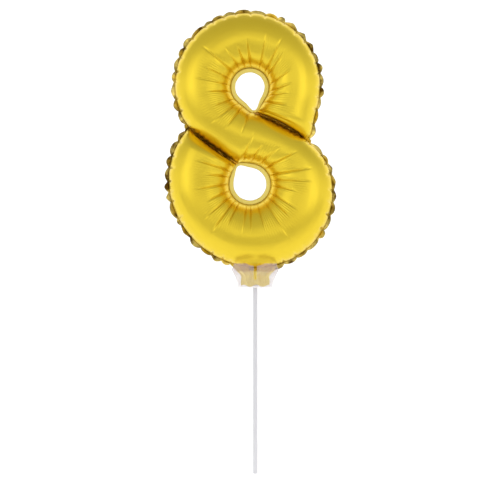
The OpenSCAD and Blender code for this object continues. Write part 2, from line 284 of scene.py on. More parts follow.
# The tail's film is painted darker above its fold: painted shade under the balloon.
gold_tail = gold("gold_tail", (1.0, 0.88, 0.30, 1), (0.96, 0.74, 0.16, 1), 0.34, 0.25, 700.0,
                 metal=0.7, painted_shade_above=TAIL_FOLD)
print("gold finishes:", [m.name for m in (gold_film, gold_weld, gold_rim_painted_light, gold_seam, gold_tail)])

# %% [markdown]
# The cup is mostly see-through, and the stick hardly at all. The cup's petals stand above the
# tail's fold and catch more light, so the cup turns hazier there.

# %% Clear cup, stick and valve film
GRAIN_HEIGHT = 0.4 * MM


def clear_plastic(name, tint, shade, alpha, rough, scale, haze=0.0, haze_height=0.0):
    finish = Finish(name, {"Alpha": alpha, "IOR": 1.49, "Specular IOR Level": 0.6})
    if haze:
        height = finish.height_of(finish.place())
        finish.drive("Alpha", finish.node("ShaderNodeMapRange", {}, {
            0: height, 1: haze_height - 4 * MM, 2: haze_height + 3 * MM, 3: alpha, 4: haze}))
    finish.drive("Base Color", finish.colour_mix(finish.noise(scale, 2.0), tint, shade))
    finish.drive("Roughness", rough - 0.04 + 0.08 * finish.noise(scale * 3, 2.0))
    finish.bump(finish.noise(scale * 6, 3.0), 0.06, GRAIN_HEIGHT)
    return finish.material


cup_plastic = clear_plastic(
    "cup_plastic", (0.70, 0.58, 0.58, 1), (0.58, 0.48, 0.52, 1), 0.15, 0.16, 90.0,
    haze=0.26, haze_height=TAIL_FOLD)
stick_plastic = clear_plastic("stick_plastic", (0.90, 0.90, 0.93, 1), (0.82, 0.82, 0.86, 1), 0.86, 0.3, 60.0)
valve_film = clear_plastic("valve_film", (0.85, 0.85, 0.86, 1), (0.78, 0.79, 0.80, 1), 0.5, 0.2, 120.0)
print("plastics:", cup_plastic.name, stick_plastic.name, valve_film.name)

# %% [markdown]
# ## The outline
# Each seam is a radius at each bearing from its eye. The flat figure and the swollen one follow
# the same rules with other sizes, so one class draws both.

# %% Seam lines
def swell(bearing, at, width):
    turn = (bearing - at + 180.0) % 360.0 - 180.0
    return np.exp(-((turn / width) ** 2))


def polar(centre, radius, bearing):
    turn = np.radians(bearing)
    return np.asarray(centre) + np.stack([radius * np.cos(turn), radius * np.sin(turn)], -1)


def bearing_of(point):
    return math.degrees(math.atan2(point[1], point[0]))


class Figure:
    """The seams of an 8 in millimetres, from the middle of its lower eye."""

    def __init__(self, upper_r, lower_r, rise, shoulder, tuck):
        self.upper_r, self.lower_r, self.shoulder, self.tuck = upper_r, lower_r, shoulder, tuck
        self.eye = np.array([EYE_LEAN, rise])

    def upper_radius(self, a):
        turn = np.radians(a)
        loop = self.upper_r - 2.5 * np.cos(turn) + 1.2 * np.sin(turn)
        return loop + self.shoulder * swell(a, SHOULDER_AT, SHOULDER_WIDTH)

    def lower_radius(self, a):
        turn = np.radians(a)
        wave = 0.8 * np.cos(turn) - 2.1 * np.sin(turn) + 0.5 * np.cos(2 * turn)
        wave = wave - SKEW * np.sin(2 * turn)
        return self.lower_r + wave - self.tuck * swell(a, TUCK_AT, TUCK_WIDTH)

    def upper(self, a):
        return polar(self.eye, self.upper_radius(a), a)

    def lower(self, a):
        return polar((0, 0), self.lower_radius(a), a)

    def upper_eye(self, a):
        return polar(self.eye, UPPER_EYE_R + UPPER_TIP * swell(a, UPPER_TIP_ANGLE, TIP_WIDTH), a)

    def lower_eye(self, a):
        return polar((0, 0), LOWER_EYE_R + LOWER_TIP * swell(a, LOWER_TIP_ANGLE, TIP_WIDTH), a)

    def meeting(self, inside, outside):
        """The bearing on the upper seam at which it meets the lower one, by halving."""
        for _ in range(40):
            middle = (inside + outside) / 2
            point = self.upper(middle)
            if math.hypot(*point) < self.lower_radius(bearing_of(point)):
                inside = middle
            else:
                outside = middle
        return (inside + outside) / 2


swollen_figure = Figure(UPPER_LOOP_R, LOWER_LOOP_R, EYE_RISE, SHOULDER, TUCK)
print("a point of the upper seam:", swollen_figure.upper(90.0).round(1))

# %% [markdown]
# The stroke is one long strip: it starts at the right notch, turns over the top, runs down the
# diagonal, turns under and ends at the left notch. Straight lines across it are its stations,
# and a grid of stations and columns is a good cloth mesh, because creases run along its lines.

# %% The stroke as a grid
COLUMNS = 24
UPPER_COUNT = int(5.4 * COLUMNS)
LOWER_COUNT = int(6.0 * COLUMNS)
DIAGONAL_START = UPPER_COUNT
DIAGONAL_MIDDLE = UPPER_COUNT + COLUMNS
DIAGONAL_END = UPPER_COUNT + 2 * COLUMNS
STATIONS = DIAGONAL_END + LOWER_COUNT + 1
PAST_NOTCH = 12


def left_of(direction):
    turned = np.stack([-direction[..., 1], direction[..., 0]], -1)
    return turned / np.linalg.norm(turned, axis=-1, keepdims=True)


def bowed(start, end, share, bow):
    line = start + (end - start) * share[:, None]
    return line + left_of(end - start) * (bow * 4 * share * (1 - share))[:, None]


def between(one_edge, other_edge, share):
    """Points at the same shares of the way from each point of one edge to the other edge."""
    return one_edge[:, None] * (1 - share)[None, :, None] + other_edge[:, None] * share[None, :, None]


def stroke(figure):
    """The grid of points in the plane, one row per station, left edge first."""
    right = figure.meeting(-85.0, 0.0)
    left = figure.meeting(265.0, 180.0)
    right_below = bearing_of(figure.upper(right))
    left_below = bearing_of(figure.upper(left))
    leave, join = left + PAST_NOTCH, right_below + PAST_NOTCH
    tip, foot = UPPER_TIP_ANGLE, LOWER_TIP_ANGLE
    f = np.arange(UPPER_COUNT) / UPPER_COUNT
    rows = [(
        figure.upper_eye(tip + TIP_HALF_TURN + (leave - tip - TIP_HALF_TURN) * f),
        figure.upper(right + NOTCH_HALF_TURN + (left - right - 2 * NOTCH_HALF_TURN) * f),
    )]
    f = np.arange(COLUMNS) / COLUMNS
    lower_crossing = figure.upper(left - NOTCH_HALF_TURN), figure.lower_eye(foot - TIP_HALF_TURN)
    rows.append((
        figure.upper_eye(leave + (360 + tip - TIP_HALF_TURN - leave) * f),
        bowed(*lower_crossing, f, -CROSSING_BOW),
    ))
    f = np.arange(COLUMNS + 1) / COLUMNS
    upper_crossing = figure.upper_eye(tip - TIP_HALF_TURN), figure.lower(right_below - NOTCH_HALF_TURN)
    rows.append((
        bowed(*upper_crossing, f, CROSSING_BOW),
        figure.lower_eye(foot - TIP_HALF_TURN + (join - foot + TIP_HALF_TURN) * f),
    ))
    f = np.arange(1, LOWER_COUNT + 1) / LOWER_COUNT
    span = left_below - 360 - right_below + 2 * NOTCH_HALF_TURN
    rows.append((
        figure.lower(right_below - NOTCH_HALF_TURN + span * f),
        figure.lower_eye(join + (foot - 360 + TIP_HALF_TURN - join) * f),
    ))
    left_edge = np.concatenate([row[0] for row in rows])
    right_edge = np.concatenate([row[1] for row in rows])
    share = np.linspace(0, 1, COLUMNS + 1)
    return bow_the_ends(between(left_edge, right_edge, share), share)


def bow_the_ends(grid, share):
    """The stroke's two ends follow the crossing seams, which are bowed."""
    middle = grid.mean(1)
    across = left_of(grid[:, -1] - grid[:, 0])
    lift = 4 * share * (1 - share)
    for end, side in ((0, 1), (-1, -1)):
        away = np.linalg.norm(middle - middle[end], axis=1)
        near = np.clip(1 - away / (2 * CAP_LENGTH), 0, 1) ** 2
        near[DIAGONAL_START:] *= end == -1
        near[:DIAGONAL_END] *= end == 0
        grid = grid + across[:, None] * (side * CROSSING_BOW * near[:, None] * lift[None, :])[..., None]
    return grid


def cut_width(half_width, depth):
    """Length of half an ellipse, which is how wide the film has to be cut to swell that far."""
    root = math.sqrt((3 * half_width + depth) * (half_width + 3 * depth))
    return math.pi * (3 * (half_width + depth) - root) / 2


upper_width, lower_width = UPPER_LOOP_R - UPPER_EYE_R, LOWER_LOOP_R - LOWER_EYE_R
diagonal_width = EYE_RISE - UPPER_EYE_R - LOWER_EYE_R
upper_cut = cut_width(upper_width / 2, UPPER_DEPTH)
lower_cut = cut_width(lower_width / 2, LOWER_DEPTH)
diagonal_cut = cut_width(diagonal_width / 2, DIAGONAL_DEPTH)
swollen = stroke(swollen_figure)
flat = stroke(Figure(
    UPPER_EYE_R + upper_cut, LOWER_EYE_R + lower_cut, EYE_RISE + diagonal_cut - diagonal_width,
    SHOULDER * upper_cut / upper_width, TUCK * lower_cut / lower_width,
))
print("stations:", STATIONS, "flat height, mm:", round(np.ptp(flat[..., 1]), 1))

# %% [markdown]
# ## Where the film will crease
# Left to chance, the simulation gathers the film into many tiny wrinkles. Real film gathers
# into a few strong creases: about one every eighteen degrees round an eye, short puckers at
# each scallop of the outer seam, and close pleats along the crossing seams. So shallow grooves
# are pressed into the start shape there, and the simulation deepens them.

# %% Fold lines
draw = np.random.default_rng(11)
Fold = namedtuple("Fold", "side at depth width reach foot")
EYE_FOLD = {"depth": 1.0, "width": 1.4, "reach": 0.60, "foot": 0.20}
PUCKER = {"depth": 0.8, "width": 1.1, "reach": 0.20, "foot": 0.06}
CROSSING_FOLD = {"depth": 0.6, "width": 0.75, "reach": 0.20, "foot": 0.06}


def ease(x):
    x = np.clip(x, 0.0, 1.0)
    return x * x * (3 - 2 * x)


def fold_row(side, first, last, pitch, depth, width, reach, foot):
    """Folds across one edge of the stroke, unevenly spaced between two stations."""
    count = round((last - first) / pitch)
    step = (last - first) / count
    places = first + step * (np.arange(count) + 0.5 + draw.uniform(-0.22, 0.22, count))
    deep = depth * draw.uniform(0.6, 1.3, count)
    long = reach * draw.uniform(0.75, 1.12, count)
    return [Fold(side, a, d, width, r, foot) for a, d, r in zip(places, deep, long)]


def stations_per_scallop(radius, count):
    return SCALLOP_PITCH / (radius * math.radians(LOOP_TURN / count))


eye_folds = (
    fold_row(0, 0, DIAGONAL_MIDDLE, 8.2, **EYE_FOLD)
    + fold_row(1, DIAGONAL_MIDDLE, STATIONS - 1, 8.0, **EYE_FOLD)
)
upper_pitch = stations_per_scallop(UPPER_LOOP_R, UPPER_COUNT)
lower_pitch = stations_per_scallop(LOWER_LOOP_R, LOWER_COUNT)
upper_puckers = fold_row(1, 0, UPPER_COUNT, upper_pitch, **PUCKER)
lower_puckers = fold_row(0, DIAGONAL_END, STATIONS - 1, lower_pitch, **PUCKER)
crossing_folds = (
    fold_row(1, DIAGONAL_START + 1, DIAGONAL_MIDDLE, 2.6, **CROSSING_FOLD)
    + fold_row(0, DIAGONAL_MIDDLE, DIAGONAL_END - 1, 2.6, **CROSSING_FOLD)
)
all_folds = eye_folds + upper_puckers + lower_puckers + crossing_folds


def groove_depth(folds, station, column, sharpness=1.0, fade=0.6):
    """How deep the folds are at each point. Each one ends over a share of its reach, the fade."""
    field = np.zeros((len(station), len(column)))
    for fold in folds:
        across = np.exp(-(((station - fold.at) / fold.width * sharpness) ** 2))
        edge = column if fold.side == 0 else 1 - column
        along = ease(edge / fold.foot) * (1 - ease((edge / fold.reach - 1 + fade) / fade))
        field += fold.depth * np.outer(across, along)
    return field


print("folds:", len(eye_folds), "at the eyes,", len(upper_puckers + lower_puckers), "at the rim")

# %% [markdown]
# ## The swollen start shape
# Across the stroke the section is half an ellipse, cut short at the stroke's two ends. The
# points are spaced evenly round the ellipse, because the film keeps its width.

# %% Start shape
SEED_DEPTH = 0.8
LEAST_DEPTH = 0.3


def half_depths(middle):
    """Half the stroke's thickness at each station. It changes over a third of each loop."""
    upper_share = ease(3 * np.arange(UPPER_COUNT) / UPPER_COUNT - 2)
    lower_share = ease(3 * np.arange(LOWER_COUNT + 1) / LOWER_COUNT)
    upper = UPPER_DEPTH + (DIAGONAL_DEPTH - UPPER_DEPTH) * upper_share
    diagonal = np.full(2 * COLUMNS, DIAGONAL_DEPTH)
    lower = DIAGONAL_DEPTH + (LOWER_DEPTH - DIAGONAL_DEPTH) * lower_share
    steps = np.linalg.norm(np.diff(middle, axis=0), axis=1)
    travel = np.concatenate([[0], np.cumsum(steps)])
    cap = lambda distance: np.sqrt(1 - (1 - np.clip(distance / CAP_LENGTH, 0, 1)) ** 2)
    return np.concatenate([upper, diagonal, lower]) * cap(travel) * cap(travel[-1] - travel)


def swollen_grid():
    turn = np.linspace(0, math.pi, COLUMNS + 1)
    place = (1 - np.cos(turn)) / 2 * COLUMNS
    low = np.minimum(place.astype(int), COLUMNS - 1)
    part = (place - low)[None, :, None]
    plane = swollen[:, low] * (1 - part) + swollen[:, low + 1] * part
    depth = half_depths(swollen.mean(1))
    middle = swollen.mean(1)[:, None]
    half_width = np.linalg.norm(swollen[:, -1] - swollen[:, 0], axis=1)[:, None] / 2
    y = depth[:, None] * np.sin(turn)[None, :]
    normal = np.stack([
        (plane[..., 0] - middle[..., 0]) / half_width**2,
        y / np.maximum(depth, 1.0)[:, None] ** 2,
        (plane[..., 1] - middle[..., 1]) / half_width**2,
    ], -1)
    normal /= np.maximum(np.linalg.norm(normal, axis=-1, keepdims=True), 1e-9)
    pressed = groove_depth(all_folds, np.arange(STATIONS), np.linspace(0, 1, COLUMNS + 1))
    points = np.stack([plane[..., 0], y, plane[..., 1]], -1)
    moved = points - normal * (SEED_DEPTH * pressed)[..., None]
    moved[..., 1] = np.maximum(moved[..., 1], LEAST_DEPTH)
    on_seam = np.zeros((STATIONS, COLUMNS + 1), bool)
    on_seam[[0, -1]] = True
    on_seam[:, [0, -1]] = True
    moved[on_seam] = points[on_seam] * (1, 0, 1)
    return moved, on_seam


start_rear, on_seam = swollen_grid()
start_front = start_rear * (1, -1, 1)
flat_grid = np.stack([flat[..., 0], np.zeros(flat.shape[:2]), flat[..., 1]], -1)
print("start shape, mm:", np.ptp(start_rear.reshape(-1, 3), axis=0).round(1))

# %% [markdown]
# ## One closed cage for the simulation
# The front ply, the rear ply, the crossing welds and the flat rims are one mesh, and the plies
# share their seam points as welded film does. A second shape key holds the flat cut: cloth that
# takes its rest lengths from there behaves as film that was cut flat.

# %% The cage
def quads(rows):
    corners = [rows[:-1, :-1], rows[:-1, 1:], rows[1:, 1:], rows[1:, :-1]]
    return np.stack(corners, -1).reshape(-1, 4)


def outward_normals(path):
    """Unit normals of a closed path in the plane, to the right of its travel."""
    ahead = np.roll(path, -2, 0) - np.roll(path, 2, 0)
    normal = np.stack([ahead[:, 1], -ahead[:, 0]], 1)
    for _ in range(4):
        normal /= np.linalg.norm(normal, axis=1, keepdims=True)
        normal = np.roll(normal, 1, 0) + 2 * normal + np.roll(normal, -1, 0)
    return normal / np.linalg.norm(normal, axis=1, keepdims=True)


class Cage:
    def __init__(self):
        self.start, self.flat, self.faces = [], [], []

    def add(self, start, flat_place):
        first = len(self.start)
        self.start.extend(start)
        self.flat.extend(flat_place)
        return np.arange(first, len(self.start))

    def rim(self, loop, width, side):
        """Two rows of flat flange along a closed loop of seam points."""
        start, flat_place = np.array(self.start)[loop], np.array(self.flat)[loop]
        out_start = outward_normals(start[:, [0, 2]]) * side
        out_flat = outward_normals(flat_place[:, [0, 2]]) * side
        rows = [np.append(loop, loop[0])]
        for share in (0.5, 1.0):
            shift = lambda points, out: points + np.insert(out, 1, 0, 1) * width * share
            row = self.add(shift(start, out_start), shift(flat_place, out_flat))
            rows.append(np.append(row, row[0]))
        self.faces.extend(quads(np.array(rows).T))


cage = Cage()
front_index = cage.add(start_front.reshape(-1, 3), flat_grid.reshape(-1, 3)).reshape(STATIONS, -1)
rear_index = front_index.copy()
rear_index[~on_seam] = cage.add(start_rear[~on_seam], flat_grid[~on_seam])
cage.faces.extend(quads(front_index))
cage.faces.extend(quads(rear_index)[:, ::-1])
upper_weld = np.stack([front_index[0], front_index[DIAGONAL_MIDDLE:DIAGONAL_END + 1, 0]], 1)
lower_weld = np.stack([front_index[DIAGONAL_START:DIAGONAL_MIDDLE + 1, -1], front_index[-1]], 1)
cage.faces.extend(quads(upper_weld))
cage.faces.extend(quads(lower_weld)[:, ::-1])
outer_loop = np.concatenate([front_index[:UPPER_COUNT + 1, -1], front_index[:DIAGONAL_END - 1:-1, 0]])
upper_eye_loop = front_index[:DIAGONAL_MIDDLE + 1, 0]
lower_eye_loop = front_index[DIAGONAL_MIDDLE:, -1]
cage.rim(outer_loop, RIM_WIDTH, 1)
cage.rim(upper_eye_loop, EYE_RIM_WIDTH, -1)
cage.rim(lower_eye_loop, EYE_RIM_WIDTH, 1)
print("cage:", len(cage.start), "points,", len(cage.faces), "faces")

# %% [markdown]
# ## Air
# Cloth springs need round numbers, so the cage is simulated with ten centimetres as one unit.
# Pressure pushes only on the film, gravity is off, and a few dozen steps let the film settle
# into its creases.

# %% Simulate
CLOTH_UNIT = 0.01
FRAMES = 32
SEAM_WEIGHT = 0.4


def simulate(cage):
    mesh = bpy.data.meshes.new("cage")
    faces = [list(map(int, face)) for face in cage.faces]
    mesh.from_pydata((np.array(cage.start) * CLOTH_UNIT).tolist(), [], faces)
    body = linked("cage", mesh)
    body.shape_key_add(name="swollen")
    rest = body.shape_key_add(name="flat")
    rest.data.foreach_set("co", (np.array(cage.flat) * CLOTH_UNIT).astype(np.float32).ravel())
    group = body.vertex_groups.new(name="film")
    inner = np.unique(np.concatenate([front_index[~on_seam], rear_index[~on_seam]]))
    group.add([int(i) for i in inner], 1.0, "REPLACE")
    group.add([int(i) for i in np.unique(front_index[on_seam])], SEAM_WEIGHT, "REPLACE")
    cloth = body.modifiers.new("cloth", "CLOTH")
    values = {
        "quality": 6, "mass": 0.001, "air_damping": 1.0, "tension_stiffness": 40,
        "compression_stiffness": 6, "shear_stiffness": 20, "bending_stiffness": 0.03,
        "tension_damping": 5, "compression_damping": 5, "shear_damping": 5, "bending_damping": 0.5,
        "use_pressure": True, "uniform_pressure_force": 6.5, "vertex_group_pressure": "film",
    }
    for name, value in values.items():
        setattr(cloth.settings, name, value)
    cloth.settings.rest_shape_key = mesh.shape_keys.key_blocks["flat"]
    cloth.settings.effector_weights.gravity = 0
    cloth.collision_settings.use_collision = False
    cloth.point_cache.frame_end = FRAMES
    for step in range(1, FRAMES + 1):
        bpy.context.scene.frame_set(step)
    settled = body.evaluated_get(bpy.context.evaluated_depsgraph_get())
    points = np.empty(len(cage.start) * 3, np.float32)
    settled.data.vertices.foreach_get("co", points)
    bpy.data.objects.remove(body)
    bpy.context.scene.frame_set(1)
    return points.reshape(-1, 3).astype(float) / CLOTH_UNIT


settled = simulate(cage)
print("settled, mm:", np.ptp(settled, axis=0).round(1))

# %% [markdown]
# ## Finer film
# The simulated grid is smoothed through its own points, three times finer along the stroke and
# twice as fine across it. On that grid the creases get their thin sharp bottoms, and patches of
# fine parallel ripples run between them, as film shows where it was gathered.

# %% Finer grid
ALONG, ACROSS = 3, 2


def finer(rows, times, axis):
    """Adds points between a grid's own along one axis, on smooth curves through them."""
    g = np.moveaxis(rows, axis, 0)
    before = np.concatenate([2 * g[:1] - g[1:2], g[:-2]])
    after = np.concatenate([g[2:], 2 * g[-1:] - g[-2:-1]])
    t = (np.arange(times) / times).reshape(1, times, *[1] * (g.ndim - 1))
    parts = (
        (-t + 2 * t**2 - t**3) / 2 * before[:, None]
        + (2 - 5 * t**2 + 3 * t**3) / 2 * g[:-1][:, None]
        + (t + 4 * t**2 - 3 * t**3) / 2 * g[1:][:, None]
        + (-(t**2) + t**3) / 2 * after[:, None]
    )
    made = np.concatenate([parts.reshape(-1, *g.shape[1:]), g[-1:]])
    return np.moveaxis(made, 0, axis)


station = np.arange((STATIONS - 1) * ALONG + 1) / ALONG
column = np.linspace(0, 1, COLUMNS * ACROSS + 1)
front = finer(finer(settled[front_index], ALONG, 0), ACROSS, 1)
rear = finer(finer(settled[rear_index], ALONG, 0), ACROSS, 1)
print("film grid:", front.shape[:2])

# %% Sharp creases and ripples
CREASE_DEPTH = 1.0
RIPPLE_HEIGHT = 0.16
RIPPLE_PITCH = 1.45
RIPPLE_PATCHES = 14


def normals_of(rows, side):
    normal = np.cross(np.gradient(rows, axis=1), np.gradient(rows, axis=0)) * side
    return normal / np.maximum(np.linalg.norm(normal, axis=-1, keepdims=True), 1e-9)


def ripple_field(side, first, last):
    """Fine parallel ripples in patches beside one eye."""
    edge = column if side == 0 else 1 - column
    band = ease((edge - 0.18) / 0.10) * (1 - ease((edge - 0.46) / 0.16))
    patches = np.zeros(len(station))
    for _ in range(RIPPLE_PATCHES):
        middle, width = draw.uniform(first, last), draw.uniform(3.5, 8.0)
        patches += np.exp(-(((station - middle) / width) ** 2)) * draw.uniform(0.4, 1.0)
    inside = (station > first) & (station < last)
    wave = np.sin(2 * math.pi * station / RIPPLE_PITCH)
    return np.outer(np.clip(patches, 0, 1) * wave * inside, band)


sharp = CREASE_DEPTH * groove_depth(all_folds, station, column, sharpness=3.8, fade=0.22)
upper_ripples = ripple_field(0, 0, DIAGONAL_MIDDLE)
lower_ripples = ripple_field(1, DIAGONAL_MIDDLE, STATIONS - 1)
ripples = RIPPLE_HEIGHT * (upper_ripples + lower_ripples)
from_end = np.minimum(station, STATIONS - 1 - station) / 4
from_edge = np.minimum.outer(from_end, np.minimum(column, 1 - column) / 0.05)
detail = (ripples - sharp) * ease(from_edge)
front = front + normals_of(front, 1) * detail[..., None]
rear = rear + normals_of(rear, -1) * detail[..., None]
print("deepest crease added, mm:", round(float(sharp.max()), 2))

# %% [markdown]
# ## The scalloped rim
# Outside the seam the film is a flat double strip. It was cut for the larger flat figure, so on
# the swollen one it is too long, and it buckles into lobes between the puckers. Each lobe bows
# to the front or the rear. The seam follows the lobes a little, and the rim a lot.

# %% Lobes between the puckers
SEAM_WAVE = 0.55
FADE_STATIONS = 4
WAVE_REACH = 0.14


def lobes(places, first, last, spots):
    """For each spot: its share of its lobe, the way the lobe bows, its reach and its bluntness."""
    edges = np.concatenate([[first - 2.0], places, [last + 2.0]])
    lean = draw.uniform(0.45, 1.0, len(edges)) * np.where(np.arange(len(edges)) % 2, 1, -1)
    reach = draw.uniform(0.45, 1.0, len(edges))
    blunt = draw.uniform(1.1, 3.4, len(edges))
    which = np.clip(np.searchsorted(edges, spots) - 1, 0, len(edges) - 2)
    share = (spots - edges[which]) / (edges[which + 1] - edges[which])
    return np.stack([np.clip(share, 0, 1), lean[which], reach[which], blunt[which]])


def seam_lobes(puckers, first, last):
    """The lobes between two stations, and the wave that they give the seam."""
    found = lobes([fold.at for fold in puckers], first, last, station)
    fade = ease((last - station) / FADE_STATIONS) * ease((station - first) / FADE_STATIONS)
    return found, SEAM_WAVE * found[1] * np.sin(math.pi * found[0]) * fade


upper_lobes, upper_wave = seam_lobes(upper_puckers, 0, UPPER_COUNT)
lower_lobes, lower_wave = seam_lobes(lower_puckers, DIAGONAL_END, STATIONS - 1)
near_right, near_left = 1 - ease((1 - column) / WAVE_REACH), 1 - ease(column / WAVE_REACH)
seam_wave = np.outer(upper_wave, near_right) + np.outer(lower_wave, near_left)
front[..., 1] += seam_wave
rear[..., 1] += seam_wave
print("seam waves, mm:", round(float(np.ptp(seam_wave)), 2))

# %% [markdown]
# The rim is a ribbon that follows a path and repeats a lobe, which is work for Geometry Nodes.
# The ribbon comes in flat, with attributes that say how far across it a point is, which way is
# outwards, and where in its lobe it lies. The tree scallops and bows it and gives it a thickness.
# Reach says how far each lobe comes out, and blunt how square its end is, so no two are alike.

# %% The rim's node tree
def rim_tree():
    tree = bpy.data.node_groups.new("scalloped_rim", "GeometryNodeTree")
    face = tree.interface
    face.new_socket("Geometry", in_out="INPUT", socket_type="NodeSocketGeometry")
    for name in ("Scallop", "Wave", "Thickness"):
        face.new_socket(name, in_out="INPUT", socket_type="NodeSocketFloat")
    face.new_socket("Material", in_out="INPUT", socket_type="NodeSocketMaterial")
    face.new_socket("Geometry", in_out="OUTPUT", socket_type="NodeSocketGeometry")
    maker = Maker(tree)
    group = tree.nodes.new("NodeGroupInput")
    given = {socket.name: Wire(maker, socket) for socket in group.outputs if socket.name}
    read = lambda name, kind="FLOAT": maker.node(
        "GeometryNodeInputNamedAttribute", {"data_type": kind}, {"Name": name})
    across, lobe, lean = read("across"), read("lobe"), read("lean")
    arch = (lobe * math.pi).sine()
    from_middle = lobe.math("ABSOLUTE", lobe * 2 - 1)
    crown = 1 - from_middle ** read("blunt")
    inwards = (crown * read("reach") - 1) * given["Scallop"] * across
    sideways = arch * lean * given["Wave"] * (0.35 + 0.65 * across)
    out_shift = maker.node("ShaderNodeVectorMath", {"operation": "SCALE"},
                           {0: read("outward", "FLOAT_VECTOR"), "Scale": inwards})
    y_shift = maker.node("ShaderNodeCombineXYZ", {}, {"Y": sideways})
    shift = maker.node("ShaderNodeVectorMath", {}, {0: out_shift, 1: y_shift})
    bent = maker.node("GeometryNodeSetPosition", {}, {"Geometry": given["Geometry"], "Offset": shift})
    normal = maker.node("GeometryNodeInputNormal", {}, {})
    back = maker.node("ShaderNodeVectorMath", {"operation": "SCALE"},
                      {0: normal, "Scale": given["Thickness"] * -0.5})
    lowered = maker.node("GeometryNodeSetPosition", {}, {"Geometry": bent, "Offset": back})
    raised = maker.node("GeometryNodeExtrudeMesh", {}, {
        "Mesh": lowered, "Offset Scale": given["Thickness"], "Individual": False})
    under = maker.node("GeometryNodeFlipFaces", {}, {"Mesh": lowered})
    joined = maker.node("GeometryNodeJoinGeometry", {}, {"Geometry": raised})
    tree.links.new(under.socket, joined.socket.node.inputs["Geometry"])
    merged = maker.node("GeometryNodeMergeByDistance", {}, {"Geometry": joined, "Distance": 1e-7})
    smooth = maker.node("GeometryNodeSetShadeSmooth", {}, {"Geometry": merged})
    real = maker.node("GeometryNodeRealizeInstances", {}, {"Geometry": smooth})
    finished = maker.node("GeometryNodeSetMaterial", {}, {
        "Geometry": real, "Material": given["Material"]})
    tree.links.new(finished.socket, tree.nodes.new("NodeGroupOutput").inputs["Geometry"])
    return tree


scalloped_rim = rim_tree()
print("rim tree:", len(scalloped_rim.nodes), "nodes")

# %% Ribbon, evaluated and made plain
RIM_ROWS = 5
RIM_THICKNESS = 0.22 * MM
SCALLOP_DEPTH, WAVE_HEIGHT = 3.0 * MM, 2.2 * MM
CALM_BESIDE_CUP = 0.65
LOWEST_PART = -LOWER_LOOP_R * 0.7


def placed(points):
    """Millimetres from the lower eye become metres in the frame."""
    return np.asarray(points) * MM + figure_origin


def mesh_object(name, points, faces):
    mesh = bpy.data.meshes.new(name)
    mesh.from_pydata(np.asarray(points).tolist(), [], np.asarray(faces).tolist())
    return linked(name, mesh)


def made_plain(piece):
    """Runs the piece's modifiers and keeps the result as an ordinary mesh."""
    evaluated = piece.evaluated_get(bpy.context.evaluated_depsgraph_get())
    mesh = bpy.data.meshes.new_from_object(evaluated)
    piece.modifiers.clear()
    old, piece.data = piece.data, mesh
    mesh.name = piece.name
    bpy.data.meshes.remove(old)
    return piece


def ribbon(name, path, outward, width, lobe_values, sizes, material):
    """A closed flat strip from a seam, given to the rim tree. Width may differ along the path."""
    share = np.linspace(0, 1, RIM_ROWS)
    out3 = np.insert(outward, 1, 0, 1)
    points = path[:, None] + out3[:, None] * (np.asarray(width)[..., None, None] * share[None, :, None])
    index = np.arange(len(path) * RIM_ROWS).reshape(len(path), RIM_ROWS)
    piece = mesh_object(name, placed(points).reshape(-1, 3), quads(np.vstack([index, index[:1]])))
    store = piece.data.attributes
    values = {"across": np.tile(share, len(path))}
    for key, value in zip(("lobe", "lean", "reach", "blunt"), lobe_values):
        values[key] = np.repeat(value, RIM_ROWS)
    for key, value in values.items():
        store.new(key, "FLOAT", "POINT").data.foreach_set("value", value.astype(np.float32))
    store.new("outward", "FLOAT_VECTOR", "POINT").data.foreach_set(
        "vector", np.repeat(out3, RIM_ROWS, 0).astype(np.float32).ravel())
    modifier = piece.modifiers.new("rim", "NODES")
    modifier.node_group = scalloped_rim
    sizes = {**sizes, "Thickness": RIM_THICKNESS, "Material": material}
    for item in scalloped_rim.interface.items_tree:
        if item.in_out == "INPUT" and item.name in sizes:
            modifier[item.identifier] = sizes[item.name]
    return made_plain(piece)


def nearness_to_cup(path):
    """One on the rim beside the cup and nought further away."""
    aside = np.abs(path[:, 0] + figure_origin[0] / MM)
    return (1 - ease((aside - 20) / 12)) * (path[:, 2] < LOWEST_PART)


upper_stop = UPPER_COUNT * ALONG + 1
lower_start = DIAGONAL_END * ALONG
outer_path = np.concatenate([front[:upper_stop, -1], front[:lower_start - 1:-1, 0]])
outer_lobes = np.concatenate([upper_lobes[:, :upper_stop], lower_lobes[:, :lower_start - 1:-1]], axis=1)
outer_lobes[1] *= 1 - CALM_BESIDE_CUP * nearness_to_cup(outer_path)
outer_out = outward_normals(outer_path[:, [0, 2]])
for _ in range(6):
    outer_out = outward_normals(outer_path[:, [0, 2]] + outer_out * 0.01)
rim = ribbon("rim_flange", outer_path, outer_out, np.full(len(outer_path), RIM_WIDTH), outer_lobes,
             {"Scallop": SCALLOP_DEPTH, "Wave": WAVE_HEIGHT}, gold_rim_painted_light)
print("rim flange:", len(rim.data.polygons), "faces")

# %% [markdown]
# Round an eye the film pulls the seam outwards, so the seam is taut and its rim lies smooth.
# The same tree makes both rims, with hardly any scallop. They narrow at the eye's pointed tip.

# %% Eye rims
EYE_LOBES = 9


def eye_rim(name, path, side, tip_angle, centre):
    outward = outward_normals(path[:, [0, 2]]) * side
    bearing = np.degrees(np.arctan2(path[:, 2] - centre[1], path[:, 0] - centre[0]))
    width = EYE_RIM_WIDTH * (1 - 0.45 * swell(bearing, tip_angle, 24))
    turn = np.linspace(0, EYE_LOBES, len(path))
    share = turn % 1
    lean = np.where(turn.astype(int) % 2, 1.0, -1.0)
    even = np.ones(len(path))
    return ribbon(name, path, outward, width, (share, lean, even, 2 * even),
                  {"Scallop": 0.12 * MM, "Wave": 0.22 * MM}, gold_weld)


